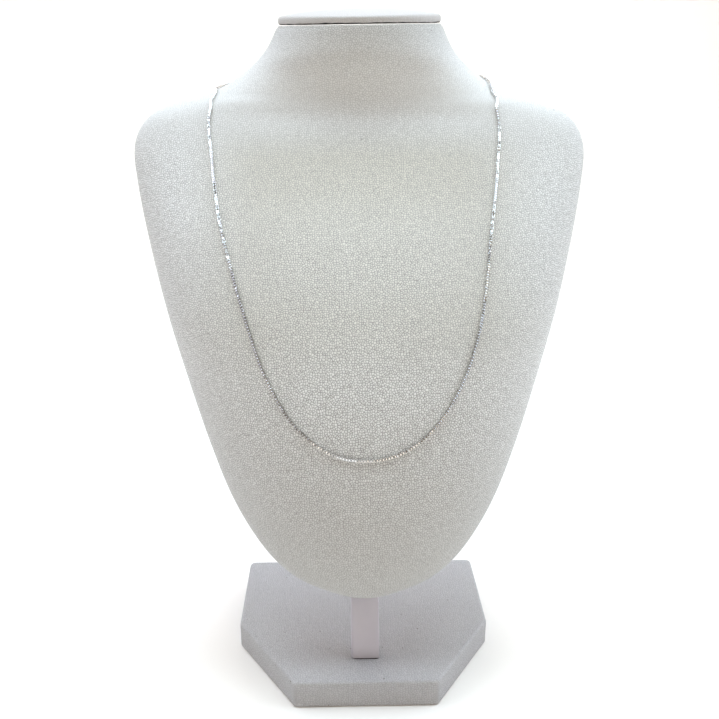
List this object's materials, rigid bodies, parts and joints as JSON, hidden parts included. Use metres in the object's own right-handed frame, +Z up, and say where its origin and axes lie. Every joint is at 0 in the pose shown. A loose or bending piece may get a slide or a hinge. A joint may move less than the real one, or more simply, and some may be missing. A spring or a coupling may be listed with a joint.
{
  "type": "box chain on a neck bust",
  "caption": "Fine box-link neck chain, closed in one long loop round a padded leather-look neck bust that leans back on a flat post over a six-sided base.",
  "frame": {"origin": "centre of the underside of the base", "axes": "+Z up, the bust faces -Y, +X is the side on the right in the picture"},
  "size_m": [0.2272, 0.1647, 0.3133],
  "materials": {
    "leatherette": "fine pebble grain, matte",
    "board": "smooth, satin",
    "silver": "polished"
  },
  "bodies": {
    "root": {"base": "leatherette", "post": "board", "bust": "leatherette", "neck_cap": "leatherette", "chain": "silver", "clasp": "silver"}
  },
  "joints": []
}
